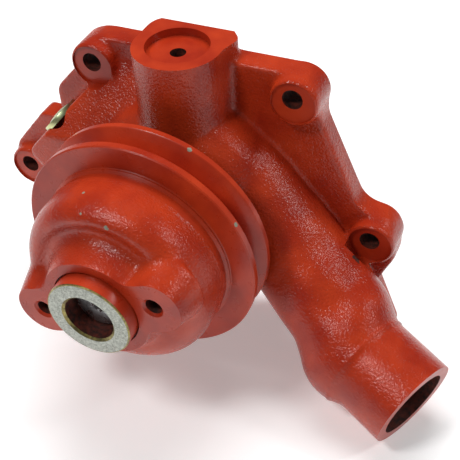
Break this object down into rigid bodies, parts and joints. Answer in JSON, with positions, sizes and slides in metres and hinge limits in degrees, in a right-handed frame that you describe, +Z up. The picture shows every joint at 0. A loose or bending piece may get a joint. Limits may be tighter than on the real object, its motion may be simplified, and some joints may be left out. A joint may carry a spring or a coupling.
{
  "type": "engine coolant pump",
  "caption": "Belt-driven engine coolant pump: cast-iron body with angled hose neck and bolt flange, V-belt pulley with domed fan hub on a bearing-carried shaft, face seal and open impeller.",
  "frame": {"origin": "point where the shaft axis meets the mounting face", "axes": "+Y along the shaft axis, out of the mounting face towards the engine; pulley towards -Y; hose neck towards +X; +Z up, out of the by-pass face"},
  "size_m": [0.2724, 0.1275, 0.175],
  "materials": {
    "body_paint": "glossy orange-red enamel over sand-cast iron",
    "pulley_paint": "glossy orange-red enamel, smoother on the turned rims and groove",
    "zinc_passivate": "pressed steel with yellow zinc passivate",
    "spring_steel": "oiled dark spring steel",
    "seal_rubber": "black nitrile rubber",
    "seal_ceramic": "lapped white ceramic",
    "seal_carbon": "dull carbon graphite",
    "machined_steel": "turned bare steel, lightly tarnished",
    "ground_steel": "ground steel shaft",
    "bearing_steel": "polished bearing steel",
    "cage_steel": "pressed steel cage",
    "pressed_brass": "pressed brass",
    "bare_iron": "bare sand-cast iron with a brown bloom"
  },
  "bodies": {
    "housing": {"pump_body": "body_paint", "core_plug": "zinc_passivate", "housing_circlip": "spring_steel", "lip_seal": "seal_rubber", "seal_seat_boot": "seal_rubber", "seal_seat": "seal_ceramic", "rear_bearing_outer_race": "bearing_steel", "front_bearing_outer_race": "bearing_steel"},
    "rotor": {"pulley": "pulley_paint", "pulley_hub": "machined_steel", "shaft": "ground_steel", "bearing_spacer": "machined_steel", "slinger": "pressed_brass", "seal_face_ring": "seal_carbon", "seal_bellows": "seal_rubber", "seal_spring": "spring_steel", "seal_front_retainer": "pressed_brass", "seal_rear_retainer": "pressed_brass", "impeller": "bare_iron", "rear_bearing_inner_race": "bearing_steel", "front_bearing_inner_race": "bearing_steel"},
    "rear_cage": {"rear_bearing_cage": "cage_steel", "rear_bearing_ball_1": "bearing_steel", "rear_bearing_ball_2": "bearing_steel", "rear_bearing_ball_3": "bearing_steel", "rear_bearing_ball_4": "bearing_steel", "rear_bearing_ball_5": "bearing_steel", "rear_bearing_ball_6": "bearing_steel", "rear_bearing_ball_7": "bearing_steel", "rear_bearing_ball_8": "bearing_steel", "rear_bearing_ball_9": "bearing_steel"},
    "front_cage": {"front_bearing_cage": "cage_steel", "front_bearing_ball_1": "bearing_steel", "front_bearing_ball_2": "bearing_steel", "front_bearing_ball_3": "bearing_steel", "front_bearing_ball_4": "bearing_steel", "front_bearing_ball_5": "bearing_steel", "front_bearing_ball_6": "bearing_steel", "front_bearing_ball_7": "bearing_steel", "front_bearing_ball_8": "bearing_steel", "front_bearing_ball_9": "bearing_steel"}
  },
  "joints": [
    {"name": "shaft_spin", "type": "hinge", "parent": "housing", "child": "rotor", "pos_m": [0, 0, 0], "axis": [0, -1, 0], "continuous": true},
    {"name": "rear_cage_roll", "type": "hinge", "parent": "housing", "child": "rear_cage", "pos_m": [0, -0.0628, 0], "axis": [0, -1, 0], "continuous": true},
    {"name": "front_cage_roll", "type": "hinge", "parent": "housing", "child": "front_cage", "pos_m": [0, -0.0904, 0], "axis": [0, -1, 0], "continuous": true}
  ],
  "couplings": [
    {"joint": "rear_cage_roll", "follows": "shaft_spin", "ratio": 0.39688},
    {"joint": "front_cage_roll", "follows": "shaft_spin", "ratio": 0.39688}
  ]
}
